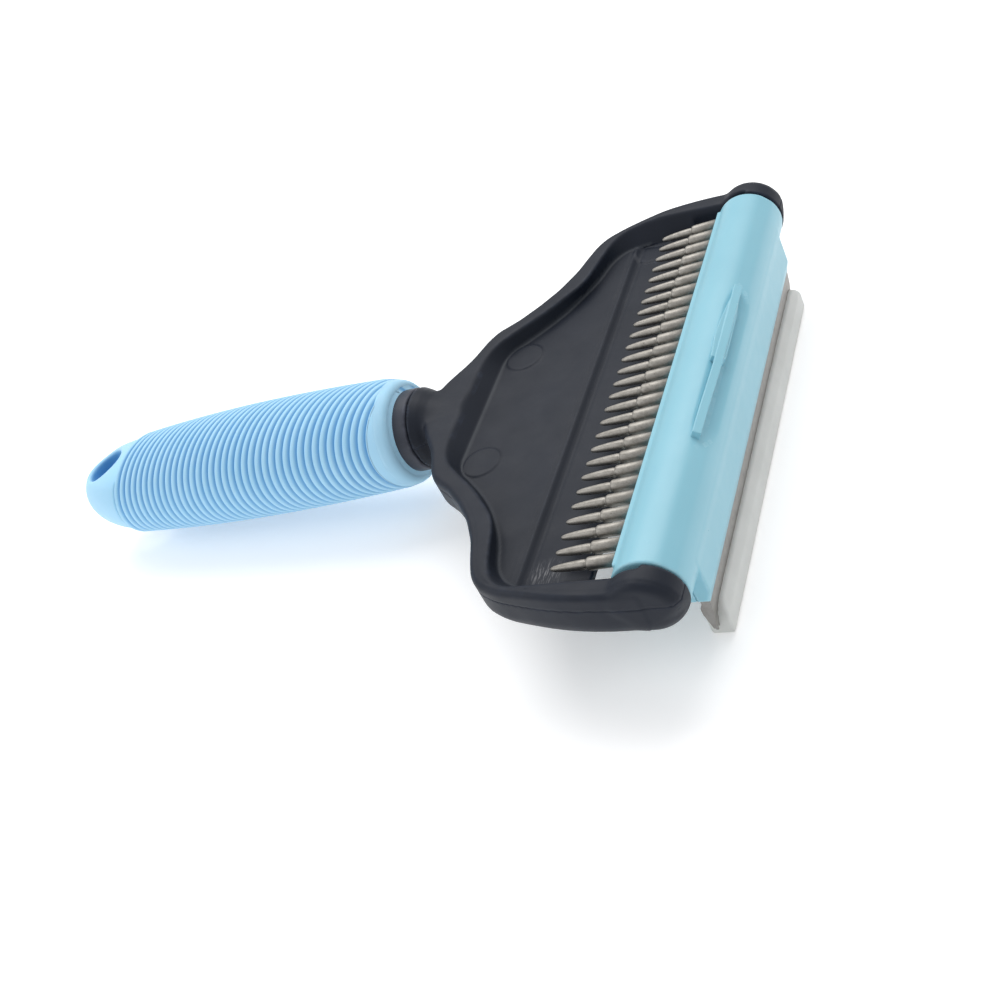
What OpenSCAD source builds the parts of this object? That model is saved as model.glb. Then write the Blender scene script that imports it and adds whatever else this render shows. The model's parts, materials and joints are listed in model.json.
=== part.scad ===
// Two-way grooming comb: a barrel with a row of stepped pins and a deshedding blade turns between
// the ears of a shallow tray, on a round ribbed handle. Millimetres, +X to the head, +Z up.
// Head sizes are measured from the barrel's axis; at_head() moves them to the part's own origin.

/* [Head] */
// Width over the two ears
head_w = 125; // [118:1:132]
// Thickness of each ear
ear_t = 5.4; // [5:0.1:6]
// Radius of the round ears
ear_r = 7.4; // [7.3:0.1:8]
// Height of the arm tops over the barrel axis
arm_top = 5; // [4.5:0.1:5.5]
// Height of the tray's lip over the barrel axis
lip_z = 4.1; // [3.6:0.1:4.5]
// Depth of the back of the head under the barrel axis
back_z = 7.2; // [6.8:0.1:8]
// Thickness of the moulded walls
wall = 1.6; // [1.4:0.1:2]

/* [Barrel] */
// Diameter of the turning barrel
barrel_d = 14.5; // [14:0.1:14.6]
// Diameter of the steel rod it turns with
rod_d = 4; // [3:0.5:4]
// Running clearance round the rod in its bushes
rod_fit = 0.05; // [0.02:0.01:0.08]
// Length of the thumb ridge
ridge_l = 46; // [30:1:60]
// Height of the thumb ridge
ridge_h = 3.4; // [2:0.1:4]

/* [Comb] */
// Number of pins
pin_count = 27; // [9:2:27]
// Spacing of the pins
pin_pitch = 4; // [3.6:0.1:4]
// Diameter of a pin's thick root
pin_root_d = 2.6; // [2:0.1:2.8]
// Diameter of a pin past its step
pin_tip_d = 1.9; // [1.4:0.1:2]
// Slope of the pins towards the tray floor
comb_tilt = 5; // [3:0.5:5]

/* [Blade] */
// Length of the blade
blade_l = 100; // [90:1:104]
// Thickness of the blade behind its ground edge
blade_t = 2; // [1.6:0.1:2]
// Depth of the blade's edge under the barrel axis
blade_z = 19.5; // [18:0.1:20]
// Number of blade teeth
tooth_count = 100; // [50:10:120]
// Bottom of the blade cover under the barrel axis
cover_z = 22; // [21.2:0.1:22]

/* [Handle] */
// Distance from the barrel axis to the ring round the neck
neck_x = 67.2; // [66:0.1:68]
// Length of the handle behind the ring
handle_l = 107; // [104:1:112]
// Largest diameter of the grip
grip_d = 27.8; // [26:0.1:30]
// Diameter of the grip at its front
grip_front_d = 25.2; // [24:0.1:26]
// Diameter of the grip at its last ring
grip_tail_d = 24.8; // [24:0.1:25.4]
// Number of rings on the grip
ring_count = 38; // [20:1:44]
// Diameter of the hang hole
hang_d = 10; // [6:0.1:10.5]
// Droop of the handle towards its tail
handle_tilt = 2.9; // [0:0.1:4]

/* [Hidden] */
$fn = 64;
eps = 0.01;

// Head
ear_in = head_w / 2 - ear_t;
head_x = (neck_x + handle_l * cos(handle_tilt) - 7.6) / 2;
head_z = cover_z;
tray_z = 0.5;              // floor of the tray
web_z = -0.5;              // lower floor under the pins
web_front = -13;           // front edge of that floor
step_x = -26;              // foot of the slope down to it
step_slope = 23.5;
recess_x = -31;            // back of the recess that the blade folds into
recess_w = 107;            // width of that recess
dish_x = -54.8;            // rear edge of the tray at its lip
bush_r = 3.4;
ear_web = 1.6;             // plastic left outside the bearing pockets
seam_z = 1.6;              // height of the seam that shows outside
skirt = 1.2;               // thickness of the strip that laps over the inner seam
screw_xy = [[-46.7, 17.3], [-46.7, -17.3], [-35.6, 39.5], [-35.6, -39.5]];
neck_screw_y = 6;
neck_screw_x = -48;
screw_r = 1.1;
screw_head_r = 2.2;
neck_r = 9.4;
neck_z = -1.8;             // height of the handle's axis at the ring

// Barrel
barrel_r = barrel_d / 2;
barrel_l = 2 * ear_in - 1.1;
rod_r = rod_d / 2;
split_z = 2;               // seam under the pins
split_x = -3.2;
blade_x = 4.9;             // middle plane of the blade
blade_top = -4.2;
grind_z = -14.6;           // where the blade starts to taper to its edge
edge_t = 0.6;              // thickness of the ground edge
wedge_l = blade_l + 1;
wedge_z = 11;
ridge_angle = 58;
ridge_t = 2.2;
barrel_screw_y = [-44, -22, 0, 22, 44];
dowel_y = [-33, 33];
barrel_screw_z = -6.2;
dowel_z = -9.2;
pocket_r = 5.2;            // detent pocket in the far ear
wheel_r = 4.3;
wheel_y = ear_in + 1.9;
wheel_t = 1.4;

// Comb
comb_x = -7;
comb_z = 3.45;
comb_from = 2;             // depth of the bar behind the pins' roots
bar_l = pin_count * pin_pitch;
pin_step = 5.5;            // length of a pin's thick root outside the barrel
pin_l = 13;                // length of a pin outside the barrel

// Handle
collar_l = 4;
core_r = 7.4;
core_l = 86;
ring_from = 8.5;
ring_to = 87;
belly = 48;
hang_s = handle_l - 10.3;
groove = 0.55;

function bezier(a, b, c, d, n) = [for (i = [0:n - 1]) let (t = i / n, u = 1 - t)
    u * u * u * a + 3 * u * u * t * b + 3 * u * t * t * c + t * t * t * d];
function flip(points) = [for (i = [len(points) - 1:-1:0]) [points[i][0], -points[i][1]]];
function unit(v) = v / norm(v);
// Moves every corner of a closed outline inwards by d
function inset(points, d) = let (n = len(points)) [for (i = [0:n - 1])
    let (a = unit(points[i] - points[(i + n - 1) % n]), b = unit(points[(i + 1) % n] - points[i]),
         m = unit(a + b)) points[i] + [m[1], -m[0]] * d / max(0.6, m * a)];

// Half of the head's outline, from the neck to the front of one ear
half_outline = concat(
    bezier([-67, neck_r], [-62, 9.4], [-60, 12.5], [-57.4, 17.5], 5),
    bezier([-57.4, 17.5], [-56, 22], [-54.5, 24], [-51.5, 25.8], 4),
    bezier([-51.5, 25.8], [-46, 30], [-41.5, 36], [-38, 44], 5),
    bezier([-38, 44], [-35.8, 49], [-36, 55], [-28.9, head_w / 2 - 4.6], 6),
    bezier([-28.9, head_w / 2 - 4.6], [-23, head_w / 2 - 2], [-12, head_w / 2], [0, head_w / 2], 5),
    [[0, head_w / 2]]);
outline = concat(half_outline, flip(half_outline));

module at_head() translate([head_x, 0, head_z]) children();

// Lies along Y with its middle at the origin
module y_cylinder(r, l) rotate([90, 0, 0]) cylinder(h = l, r = r, center = true);

module ears(r, y_from, y_to) {
    for (side = [-1, 1])
        translate([0, side * (y_from + y_to) / 2, 0]) y_cylinder(r, y_to - y_from);
}

module slab(z_from, z_to, d) translate([0, 0, z_from]) linear_extrude(z_to - z_from)
    polygon(inset(outline, d));

module box(x_from, x_to, w, z_from, z_to) translate([x_from, -w / 2, z_from])
    cube([x_to - x_from, w, z_to - z_from]);

// Room for the barrel, its pins and the blade between the arms
module barrel_bay(z_from, z_to) {
    box(web_front, 12, 2 * ear_in, z_from, z_to);
}

// Strip of the rear moulding that laps round the outside of the tray
module seam_skirt() difference() {
    union() {
        intersection() {
            slab(0, seam_z, 0);
            box(-56, 1, head_w, 0, seam_z);
        }
        intersection() {
            ears(ear_r, ear_in, head_w / 2);
            box(-ear_r, ear_r, head_w, 0, seam_z);
        }
    }
    slab(-1, seam_z + 1, skirt);
    box(-12, 12, head_w - 2 * skirt, -1, seam_z + 1);
}

module bearing_pockets() {
    ears(bush_r, ear_in - 1, head_w / 2 - ear_web);
    translate([0, (ear_in + 1.7 + head_w / 2 - ear_web) / 2, 0])
        y_cylinder(pocket_r, head_w / 2 - ear_web - ear_in - 1.7);
    translate([-10, ear_in + 1.7, -4])
        cube([10, head_w / 2 - ear_web - ear_in - 1.7, 8]);
}

module tray_shell() color([0.28, 0.29, 0.32]) at_head() difference() {
    union() {
        slab(0, 2.4, 0);
        slab(2.3, 3.4, 0.5);
        slab(3.3, lip_z, 1.3);
        intersection() {
            slab(3.3, arm_top, 1.3);
            box(-24, 2, head_w, 3, arm_top);
        }
        intersection() {
            ears(ear_r, ear_in, head_w / 2);
            box(-ear_r, ear_r, head_w, 0, ear_r);
        }
        intersection() {
            translate([-67, 0, neck_z]) rotate([0, 90, 0]) cylinder(h = 12, r1 = neck_r, r2 = 5.5);
            box(-67, -54, 40, 0, 10);
        }
        box(recess_x + 0.2, web_front, recess_w - 0.4, web_z - 1.4, 0.2);
        intersection() {
            slab(-1.1, 0.2, wall + 0.5);
            box(-57.9, recess_x - wall - 0.1, head_w, -1.2, 0.3);
        }
        for (p = screw_xy) translate([p[0], p[1], -3.4]) cylinder(h = 3.4, r = 2.6);
    }
    seam_skirt();
    barrel_bay(-4, 12);
    intersection() {
        slab(2, 12, 3.2);
        box(dish_x, web_front + 1, 2 * ear_in, 2, 12);
    }
    intersection() {
        slab(tray_z, 4, 4.9);
        box(dish_x + 3, web_front + 1, 2 * ear_in, tray_z, 4);
    }
    box(step_x, web_front + 1, recess_w - 1, web_z, 2);
    translate([step_x, 0, web_z]) rotate([0, step_slope, 0]) box(-2.6, 0, recess_w - 1, 0, 2);
    bearing_pockets();
    for (p = screw_xy) translate([p[0], p[1], -4]) cylinder(h = 4, r = screw_r);
    translate([-68, 0, neck_z]) rotate([0, 90, 0]) cylinder(h = 11, r = 6);
    box(-64, -42, 23, neck_z - 2, -0.9);
}

module rear_shell() color([0.25, 0.26, 0.29]) at_head() difference() {
    union() {
        slab(-back_z, -6.4, 2.2);
        slab(-6.5, -5, 0.9);
        slab(-5.1, 0, 0);
        intersection() {
            ears(ear_r, ear_in, head_w / 2);
            box(-ear_r, ear_r, head_w, -ear_r, 0);
        }
        intersection() {
            translate([-67, 0, neck_z]) rotate([0, 90, 0]) cylinder(h = 12, r1 = neck_r, r2 = 5.5);
            box(-67, -54, 40, -12, 0);
        }
        seam_skirt();
    }
    barrel_bay(-9, 1);
    box(recess_x, web_front + 1, recess_w, -9, 1);
    difference() {
        intersection() {
            slab(-back_z + wall, 1, wall + 0.4);
            box(-58, recess_x - wall, head_w, -back_z, 1);
        }
        for (p = screw_xy) translate([p[0], p[1], -back_z]) cylinder(h = back_z - 3.4, r = 2.6);
    }
    bearing_pockets();
    for (p = screw_xy) {
        translate([p[0], p[1], -back_z]) cylinder(h = 8, r = screw_r);
        translate([p[0], p[1], -back_z - 1]) cylinder(h = 2.6, r = screw_head_r);
    }
    for (y = [-neck_screw_y, neck_screw_y]) {
        translate([neck_screw_x, y, -back_z - 1]) cylinder(h = 5, r = screw_r);
        translate([neck_screw_x, y, -back_z - 1]) cylinder(h = 2, r = screw_head_r);
    }
    translate([-68, 0, neck_z]) rotate([0, 90, 0]) cylinder(h = 11, r = 6);
    box(-60.2, -57, 22.4, -5.6, 1);
}

// A pan-head screw with its head at the bottom, the seat of the head at z = 0
module screw(l, r, head_r, head_h) {
    translate([0, 0, -head_h]) cylinder(h = head_h, r = head_r - 0.1);
    translate([0, 0, -head_h / 2]) cylinder(h = l + head_h / 2, r = r);
}

module case_screws() color([0.6, 0.6, 0.62]) at_head()
    for (p = screw_xy) translate([p[0], p[1], -back_z + 1.6]) difference() {
        screw(5, screw_r, screw_head_r, 1.3);
        translate([0, 0, -1.5]) cylinder(h = 1, r = 0.8, $fn = 6);
    }

module neck_screws() color([0.6, 0.6, 0.62]) at_head()
    for (y = [-neck_screw_y, neck_screw_y]) translate([neck_screw_x, y, -back_z + 1]) difference() {
        screw(4, screw_r, screw_head_r, 0.9);
        translate([0, 0, -1.2]) cylinder(h = 0.9, r = 0.8, $fn = 6);
    }

// Runs from the ring back along the handle's axis, which lies along +X in here
module at_handle() at_head() translate([-neck_x, 0, neck_z]) rotate([0, 180 - handle_tilt, 0])
    children();

module handle_core() color([0.2, 0.2, 0.21]) union() {
    at_head() difference() {
        union() {
            translate([-neck_x - 1.5, 0, neck_z]) rotate([0, 90, 0]) cylinder(h = 10.5, r = 6);
            box(-60, -42.4, 22, -5.4, -1.2);
        }
        for (y = [-neck_screw_y, neck_screw_y])
            translate([neck_screw_x, y, -6]) cylinder(h = 3.8, r = screw_r);
    }
    at_handle() rotate([0, 90, 0]) rotate_extrude() polygon([[0, 0.4], [neck_r - 0.5, 0.4],
        [neck_r, 0.9], [neck_r, collar_l], [core_r, collar_l], [core_r, core_l], [0, core_l]]);
}

function envelope(s) = s < belly
    ? (grip_d - (grip_d - grip_front_d) * pow((belly - s) / (belly - ring_from), 2)) / 2
    : (grip_d - (grip_d - grip_tail_d) * pow((s - belly) / (ring_to - belly), 2)) / 2;
ring_pitch = (ring_to - ring_from) / ring_count;
tail_r = grip_tail_d / 2 - 0.4;
// Radius and distance behind the ring, for the grip's skin
grip_profile = concat(
    [[neck_r + 0.1, collar_l], [11, collar_l], [11.9, collar_l + 0.6], [12.3, collar_l + 2],
     [envelope(ring_from), ring_from - 0.4]],
    [for (i = [0:ring_count - 1], k = [0:2]) let (s = ring_from + ring_pitch * (i + [0, 0.25, 0.75][k]))
        [envelope(s) - (k == 0 ? groove : 0), s]],
    [[envelope(ring_to) - groove, ring_to]],
    [for (a = [0:10:80]) [tail_r * cos(a), ring_to + 0.3 + (handle_l - ring_to - 0.3) * sin(a)]],
    [[0, handle_l], [0, collar_l]]);

module grip_sleeve() color([0.62, 0.81, 0.92]) at_handle() difference() {
    rotate([0, 90, 0]) rotate_extrude() polygon(grip_profile);
    rotate([0, 90, 0]) translate([0, 0, collar_l - 1]) cylinder(h = core_l - collar_l + 1, r = core_r);
    rotate([0, 90, 0]) translate([0, 0, collar_l - 1]) cylinder(h = 1 + eps, r = neck_r + 0.1);
    translate([hang_s, 0, -20]) cylinder(h = 40, d = hang_d);
}

module bush(side, l) color([0.9, 0.9, 0.86]) at_head() translate([0, side * (ear_in + l / 2), 0])
    difference() {
        y_cylinder(bush_r, l);
        y_cylinder(rod_r + rod_fit, l + 1);
    }

module near_bush() bush(-1, head_w / 2 - ear_web - ear_in);

module far_bush() bush(1, 1.7);

// Thin steel leaf with a bump that drops into the wheel's notches
module detent_leaf() color([0.72, 0.73, 0.75]) at_head() translate([0, wheel_y + 0.1, 0]) union() {
    translate([-8.6, 0, -4]) cube([0.4, wheel_t - 0.3, 8]);
    intersection() {
        translate([-6.6, wheel_t / 2 - 0.15, 0]) y_cylinder(2, wheel_t - 0.3);
        translate([-8.4, -1, -2]) cube([8, wheel_t + 2, 4]);
    }
}

// Barrel with the wedge that carries the blade
module barrel_body() {
    y_cylinder(barrel_r, barrel_l);
    translate([0, wedge_l / 2, 0]) rotate([90, 0, 0]) linear_extrude(wedge_l)
        polygon([[0, 0], [7.2, 0], [7.3, -8.4], [6.4, -wedge_z], [2.6, -wedge_z], [-3, -6]]);
    translate([comb_x, 0, comb_z]) rotate([0, -comb_tilt, 0])
        box(0.95, 4, barrel_l - 3.5, -split_z, 1.5);
    rotate([0, -ridge_angle, 0]) translate([barrel_r - 1, 0, 0]) thumb_ridge();
}

module thumb_ridge() {
    h = ridge_h + 1;
    r = (h * h + ridge_l * ridge_l / 4) / (2 * h);
    intersection() {
        translate([h - r, 0, 0]) cylinder(h = ridge_t, r = r, center = true, $fn = 180);
        translate([0, -ridge_l / 2, -ridge_t]) cube([h + 1, ridge_l, 2 * ridge_t]);
    }
}

// Space of the rear half of the barrel, behind and under the seam
module back_half() {
    box(-12, split_x, barrel_l + 1, -12, split_z);
    box(-12, blade_x - blade_t / 2, barrel_l + 1, -12, -3.4);
}

module comb_slot() translate([comb_x, 0, comb_z]) rotate([0, -comb_tilt, 0])
    box(comb_from, comb_from + 2.2, bar_l, -1.3, 1.2);

module pin_rows() translate([comb_x, 0, comb_z]) rotate([0, -comb_tilt, 0])
    for (i = [0:pin_count - 1])
        translate([0, (i - (pin_count - 1) / 2) * pin_pitch, 0]) rotate([0, -90, 0]) children();

module clamp_holes(r, z, ys, from, to) for (y = ys)
    translate([from, y, z]) rotate([0, 90, 0]) cylinder(h = to - from, r = r);

module barrel_front() color([0.58, 0.82, 0.9]) at_head() difference() {
    barrel_body();
    back_half();
    y_cylinder(rod_r, barrel_l + 2);
    comb_slot();
    pin_rows() translate([0, 0, -comb_from]) cylinder(h = 6, r = pin_root_d / 2);
    translate([blade_x - blade_t / 2, -blade_l / 2, -14]) cube([blade_t, blade_l, 14 + blade_top]);
    clamp_holes(screw_r, barrel_screw_z, barrel_screw_y, 0, 6.8);
    clamp_holes(1, dowel_z, dowel_y, 0, 6.4);
}

module barrel_back() color([0.52, 0.77, 0.86]) at_head() difference() {
    intersection() {
        barrel_body();
        back_half();
    }
    comb_slot();
    pin_rows() translate([0, 0, -comb_from]) cylinder(h = 6, r = pin_root_d / 2);
    clamp_holes(screw_r, barrel_screw_z, barrel_screw_y, -8, 6);
    clamp_holes(screw_head_r, barrel_screw_z, barrel_screw_y, -9, -1.4);
    clamp_holes(1, dowel_z, dowel_y, 3, 6);
}

module comb_bar() color([0.55, 0.56, 0.58]) at_head() difference() {
    comb_slot();
    pin_rows() cylinder(h = 12, r = pin_root_d / 2 - 0.4, center = true);
}

// One stepped pin, its root at z = 0 and its rounded tip at the top
module comb_pin() rotate_extrude($fn = 24) polygon(concat(
    [[0, -comb_from - 2], [pin_root_d / 2 - 0.4, -comb_from - 2], [pin_root_d / 2 - 0.4, -comb_from],
     [pin_root_d / 2, -comb_from],
     [pin_root_d / 2, pin_step - 0.5], [pin_root_d / 2 - 0.3, pin_step - 0.2],
     [pin_tip_d / 2, pin_step], [pin_tip_d / 2 + 0.1, pin_step + 0.6], [0.72, pin_l - 1.6]],
    [for (a = [0:30:90]) [0.6 * cos(a), pin_l - 0.6 + 0.6 * sin(a)]]));

module comb_pins() color([0.62, 0.6, 0.56]) at_head() pin_rows() comb_pin();

// Toothed edge at the bottom, seen from the front
module blade_outline() {
    pitch = blade_l / tooth_count;
    half = blade_l / 2;
    polygon(concat(
        [[-half, blade_top], [-half, -blade_z + 1]],
        [for (i = [0:tooth_count - 1], k = [0:1])
            [-half + pitch * (i + 0.25 + 0.5 * k), -blade_z + (i % 2 == 0 ? 0 : 1)]],
        [[half, -blade_z + 1], [half, blade_top]]));
}

// Section of the blade, its sides moved out by gap
module blade_section(l, gap, z_top) translate([blade_x, l / 2, 0]) rotate([90, 0, 0]) linear_extrude(l)
    polygon([[-blade_t / 2 - gap, z_top], [blade_t / 2 + gap, z_top], [blade_t / 2 + gap, grind_z],
             [edge_t / 2 + gap, -blade_z - gap], [-edge_t / 2 - gap, -blade_z - gap],
             [-blade_t / 2 - gap, grind_z]]);

module deshedding_blade() color([0.6, 0.57, 0.53]) at_head() difference() {
    intersection() {
        translate([blade_x - 2, 0, 0]) rotate([90, 0, 90]) linear_extrude(4) blade_outline();
        blade_section(blade_l, 0, blade_top);
    }
    clamp_holes(screw_r, barrel_screw_z, barrel_screw_y, 0, 8);
    clamp_holes(1, dowel_z, dowel_y, 0, 8);
}

module blade_dowels() color([0.7, 0.7, 0.72]) at_head()
    clamp_holes(1, dowel_z, dowel_y, 3.2, 6.3);

module barrel_screws() color([0.6, 0.6, 0.62]) at_head() for (y = barrel_screw_y)
    translate([-1.4, y, barrel_screw_z]) rotate([0, 90, 0]) difference() {
        screw(8, screw_r, screw_head_r, 1.2);
        translate([0, 0, -1.6]) cylinder(h = 1.2, r = 0.8, $fn = 6);
    }

module pivot_rod() color([0.75, 0.76, 0.78]) at_head() difference() {
    y_cylinder(rod_r, head_w - 2 * ear_web - 0.4);
    translate([0, wheel_y + wheel_t / 2, 0]) difference() {
        y_cylinder(rod_r + 1, wheel_t + 0.2);
        translate([-1.3, -2, -3]) cube([2.6, 4, 6]);
    }
}

// Index wheel, keyed on the rod's flats, with a notch for each end of the barrel's turn
module detent_wheel() color([0.8, 0.8, 0.82]) at_head() translate([0, wheel_y + wheel_t / 2, 0])
    difference() {
        y_cylinder(wheel_r, wheel_t - 0.2);
        intersection() {
            y_cylinder(rod_r, wheel_t + 1);
            translate([-1.3, -2, -3]) cube([2.6, 4, 6]);
        }
        for (a = [0, 90]) rotate([0, -a, 0])
            translate([-wheel_r - 1.2, 0, 0]) y_cylinder(1.8, wheel_t + 1);
    }

module thrust_washers() color([0.92, 0.92, 0.9]) at_head() difference() {
    ears(4.2, barrel_l / 2, barrel_l / 2 + 0.4);
    y_cylinder(rod_r, head_w);
}

// Spring clip on the end of the rod, outside the index wheel
module rod_clip() color([0.3, 0.3, 0.32]) at_head() translate([0, head_w / 2 - ear_web - 0.35, 0])
    difference() {
        y_cylinder(3.2, 0.3);
        y_cylinder(rod_r, 1);
        translate([-1.2, -1, -4]) cube([2.4, 2, 4]);
    }

module blade_cover() color([0.86, 0.88, 0.88, 0.8]) at_head() difference() {
    translate([0, blade_l / 2 - 0.5, 0]) rotate([90, 0, 0]) linear_extrude(blade_l - 1)
        polygon([[3, -15.5], [6.8, -15.5], [7.6, -17.2], [7.6, -21.4], [7, -cover_z], [3.6, -cover_z],
                 [2.8, -21.2], [2.8, -15.8]]);
    blade_section(blade_l + 2, 0.2, -15);
}

tray_shell();
rear_shell();
handle_core();
grip_sleeve();
case_screws();
neck_screws();
near_bush();
far_bush();
detent_leaf();
barrel_front();
barrel_back();
comb_bar();
comb_pins();
deshedding_blade();
blade_dowels();
barrel_screws();
pivot_rod();
detent_wheel();
thrust_washers();
rod_clip();
blade_cover();
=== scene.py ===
"""Two-way grooming comb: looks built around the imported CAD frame.

Shapes are worked out in millimetres from the barrel's axis (x to the head's front, y across the
head, z up), as in part.scad, and moved to the row frame by the hinge's own position.
"""
import json

import bpy
import numpy as np
from mathutils import Matrix, Vector


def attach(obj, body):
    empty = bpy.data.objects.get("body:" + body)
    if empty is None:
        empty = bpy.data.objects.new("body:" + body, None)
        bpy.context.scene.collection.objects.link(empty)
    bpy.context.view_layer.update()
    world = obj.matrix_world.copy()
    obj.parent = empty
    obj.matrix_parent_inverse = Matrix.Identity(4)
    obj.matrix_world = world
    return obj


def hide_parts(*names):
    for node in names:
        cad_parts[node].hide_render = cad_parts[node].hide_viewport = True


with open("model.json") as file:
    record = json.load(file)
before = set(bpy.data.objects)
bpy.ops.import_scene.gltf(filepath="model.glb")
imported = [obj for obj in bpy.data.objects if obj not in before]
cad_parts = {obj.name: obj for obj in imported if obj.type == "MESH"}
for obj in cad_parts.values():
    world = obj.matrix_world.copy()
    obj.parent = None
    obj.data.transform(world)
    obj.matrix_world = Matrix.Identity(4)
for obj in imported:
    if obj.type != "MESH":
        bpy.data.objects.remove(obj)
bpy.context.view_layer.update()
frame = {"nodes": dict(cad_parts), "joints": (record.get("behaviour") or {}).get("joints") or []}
nodes = frame["nodes"]
barrel_turn = next(j for j in frame["joints"] if j["name"] == "barrel_turn")
HEAD = np.array(barrel_turn["pos_m"], float)

# Shared sizes, in millimetres
ARM_IN, ARM_OUT = 57.1, 62.5          # inner and outer faces of the arms
EAR_R = 7.35
BAY_X = -12.9                         # front edge of the tray's floor
BACK_Z = -7.2                         # underside of the head
SEAM_Z, SKIRT = 1.6, 1.2              # seam that shows outside, and the strip that laps over the inner one
RIM = 1.45                            # from the outline in to the crease of the flat rim
BEARING_Y, BEARING_T = 59.85, 1.05    # middle and half width of the index wheel's pocket
SPIGOT_R, SPIGOT_X = 5.0, 63          # bore in the neck for the handle's spigot, and how far it reaches
NECK_X, NECK_Z, TILT = -67.2, -1.8, np.radians(2.9)
RING_FROM, RING_TO, RINGS = 5.2, 87.0, 38
RING_STEPS, GROOVE = 12, 0.72         # rows of points to a ring, and the depth and half width of a groove
BELLY, GRIP_R = 48, 13.9              # where the grip is thickest, and its radius there
HANDLE_L, HANG_S, HANG_R = 107.0, 96.7, 5.0
BARREL_R, BARREL_END = 7.25, 56.8
PINS, PITCH = 27, 4.0
COMB = np.array([-7.0, 0.0, 3.45])
COMB_TILT = np.radians(5)
BLADE_HALF, TEETH, TOOTH = 50, 100, 1.0
CURVE_STEPS = 4                       # points to each stretch of a smooth outline


# ---------------------------------------------------------------- distance fields
def smax(a, b, k):
    """The larger of two distances, with the inside corner rounded over about k."""
    h = np.clip(0.5 + 0.5 * (a - b) / k, 0, 1)
    return b + (a - b) * h + k * h * (1 - h)


def smin(a, b, k):
    """The smaller of two distances, rounded the same way."""
    return -smax(-a, -b, k)


def corner(a, b, r):
    """Inside both a and b, with a true round of radius r on the edge between them."""
    a, b = a + r, b + r
    return np.hypot(np.maximum(a, 0), np.maximum(b, 0)) + np.minimum(np.maximum(a, b), 0) - r


def step(v, low, high):
    """Rises smoothly from 0 at low to 1 at high."""
    t = np.clip((v - low) / (high - low), 0, 1)
    return t * t * (3 - 2 * t)


def slab(d, v, low, high, r_low, r_high):
    """Distance to a wall d from its outline, from low to high along v, with rounded edges."""
    upper, lower = corner(d, v - high, r_high), corner(d, low - v, r_low)
    return np.where(v > (low + high + r_low - r_high) / 2, upper, lower)


def polygon(x, y, points):
    """Signed distance to a closed outline, negative inside."""
    x, y = np.broadcast_arrays(x, y)
    near = np.full(x.shape, 1e9)
    inside = np.zeros(x.shape, bool)
    for (ax, ay), (bx, by) in zip(points, np.roll(points, -1, axis=0)):
        ex, ey = bx - ax, by - ay
        px, py = x - ax, y - ay
        t = np.clip((px * ex + py * ey) / (ex * ex + ey * ey + 1e-12), 0, 1)
        near = np.minimum(near, (px - t * ex) ** 2 + (py - t * ey) ** 2)
        if ay != by:
            crosses = (ay > y) != (by > y)
            inside ^= crosses & (x < ex * (y - ay) / (by - ay) + ax)
    return np.where(inside, -1, 1) * np.sqrt(near)


def spline(points):
    """A smooth curve through the points."""
    p = np.array(points, float)
    p = np.vstack([2 * p[0] - p[1], p, 2 * p[-1] - p[-2]])
    out = []
    for a, b, c, d in zip(p, p[1:], p[2:], p[3:]):
        for t in np.arange(CURVE_STEPS) / CURVE_STEPS:
            out.append(0.5 * (2 * b + (c - a) * t + (2 * a - 5 * b + 4 * c - d) * t * t
                              + (3 * b - a - 3 * c + d) * t ** 3))
    return np.array(out + [p[-2]])


def both_sides(half):
    """A closed outline from its +y half, which runs from the middle line to the middle line."""
    return np.vstack([half, (half * [1, -1])[::-1]])


# ---------------------------------------------------------------- meshes
def to_row(points):
    """From millimetres round the barrel's axis to metres in the row frame."""
    return np.asarray(points, float) / 1000 + HEAD


def new_object(name, points, faces, body, slot, material, replaces=(), smooth=True):
    """A piece from points in millimetres round the barrel's axis."""
    mesh = bpy.data.meshes.new(name)
    mesh.from_pydata(to_row(points).tolist(), [], [list(f) for f in faces])
    mesh.polygons.foreach_set("use_smooth", [smooth] * len(mesh.polygons))
    mesh.update()
    piece = bpy.data.objects.new(name, mesh)
    bpy.context.scene.collection.objects.link(piece)
    mesh.materials.append(material)
    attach(piece, body)
    if replaces:
        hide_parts(*replaces)
    return piece


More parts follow.
